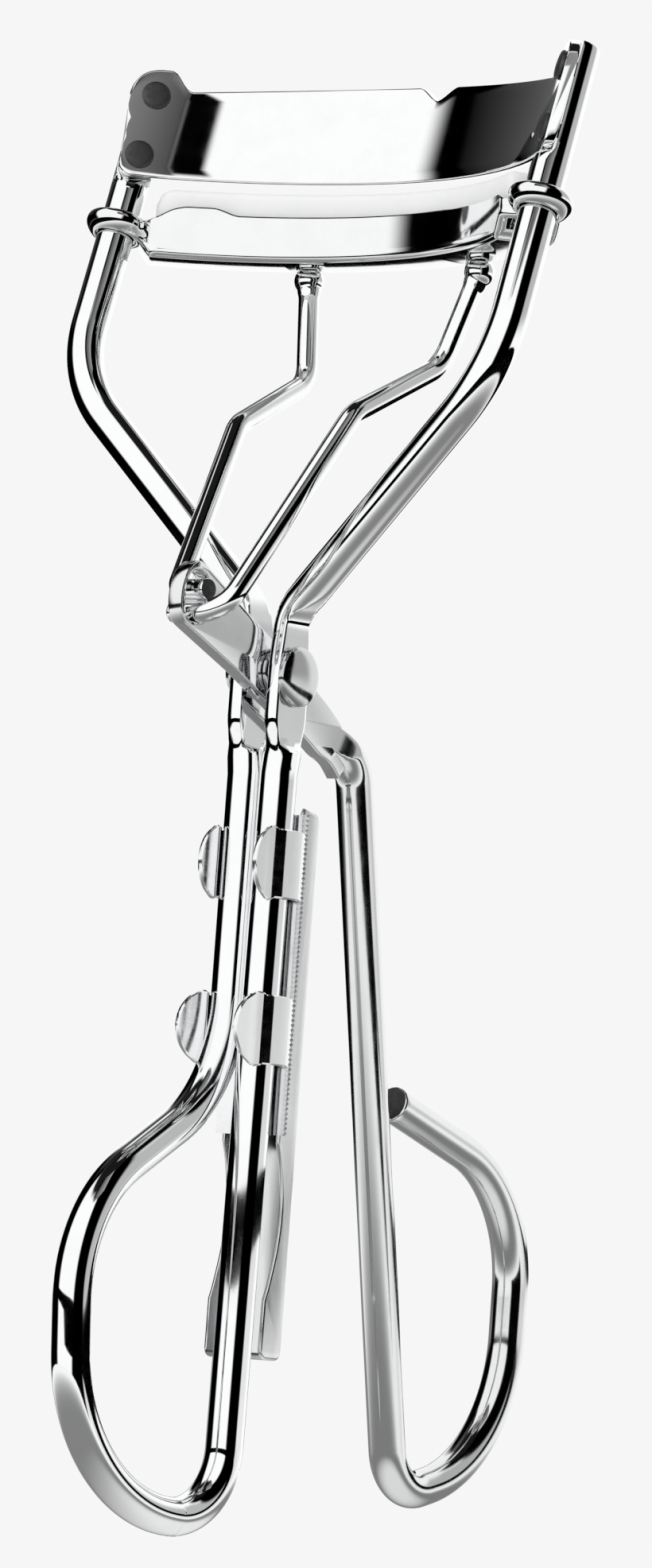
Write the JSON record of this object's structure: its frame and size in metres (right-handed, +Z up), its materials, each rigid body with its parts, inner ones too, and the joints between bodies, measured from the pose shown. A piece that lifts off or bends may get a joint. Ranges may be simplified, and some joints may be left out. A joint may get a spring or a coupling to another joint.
{
  "type": "eyelash curler",
  "caption": "Hand-held eyelash curler: rod frame and rod handle with finger loops on a rivet, sliding padded lower jaw, fixed curved upper jaw, clip-on comb.",
  "frame": {"origin": "centre of the object's box at rest", "axes": "+Z up along the frame's parallel rods towards the jaws, +Y towards the moving handle, +X across the head"},
  "size_m": [0.0418, 0.0522, 0.1048],
  "materials": {
    "rod_chrome": "bright chrome plating on round rod",
    "plate_chrome": "bright chrome plating on stamped sheet",
    "rivet_steel": "rough dark rivet heads",
    "pivot_steel": "polished rivet and washers",
    "handle_chrome": "bright chrome plating on round rod and pressed lever",
    "jaw_chrome": "bright chrome plating on stamped channel",
    "silicone": "translucent white silicone",
    "link_chrome": "bright chrome plating on bent wire with small tool dents",
    "comb_satin": "satin chrome sheet"
  },
  "bodies": {
    "frame": {"frame_rod": "rod_chrome", "upper_jaw_plate": "plate_chrome", "jaw_rivet_left_lower": "rivet_steel", "jaw_rivet_left_upper": "rivet_steel", "jaw_rivet_right_lower": "rivet_steel", "jaw_rivet_right_upper": "rivet_steel", "pivot_rivet": "pivot_steel", "pivot_washer_left": "pivot_steel", "pivot_washer_right": "pivot_steel"},
    "handle": {"handle": "handle_chrome"},
    "jaw": {"lower_jaw": "jaw_chrome", "silicone_pad": "silicone"},
    "links": {"link_wire_left": "link_chrome", "link_wire_right": "link_chrome"},
    "comb": {"comb_clip": "comb_satin", "comb_tray": "comb_satin"}
  },
  "joints": [
    {"name": "handle_pivot", "type": "hinge", "parent": "frame", "child": "handle", "pos_m": [0, -0.00918, 0.0075], "axis": [1, 0, 0], "range_deg": [-6, 20]},
    {"name": "jaw_slide", "type": "slide", "parent": "frame", "child": "jaw", "axis": [0, 0.2967, 0.955], "range_m": [-0.0034, 0.00105]},
    {"name": "link_swing", "type": "hinge", "parent": "jaw", "child": "links", "pos_m": [0, 0.00176, 0.0374], "axis": [1, 0, 0], "range_deg": [-0.3, 0.6]},
    {"name": "comb_slide", "type": "slide", "parent": "frame", "child": "comb", "axis": [0, 0, 1], "range_m": [0, 0.0025]}
  ],
  "couplings": [
    {"joint": "jaw_slide", "follows": "handle_pivot", "m_per_rad": -0.009627},
    {"joint": "link_swing", "follows": "handle_pivot", "ratio": 0.024}
  ]
}
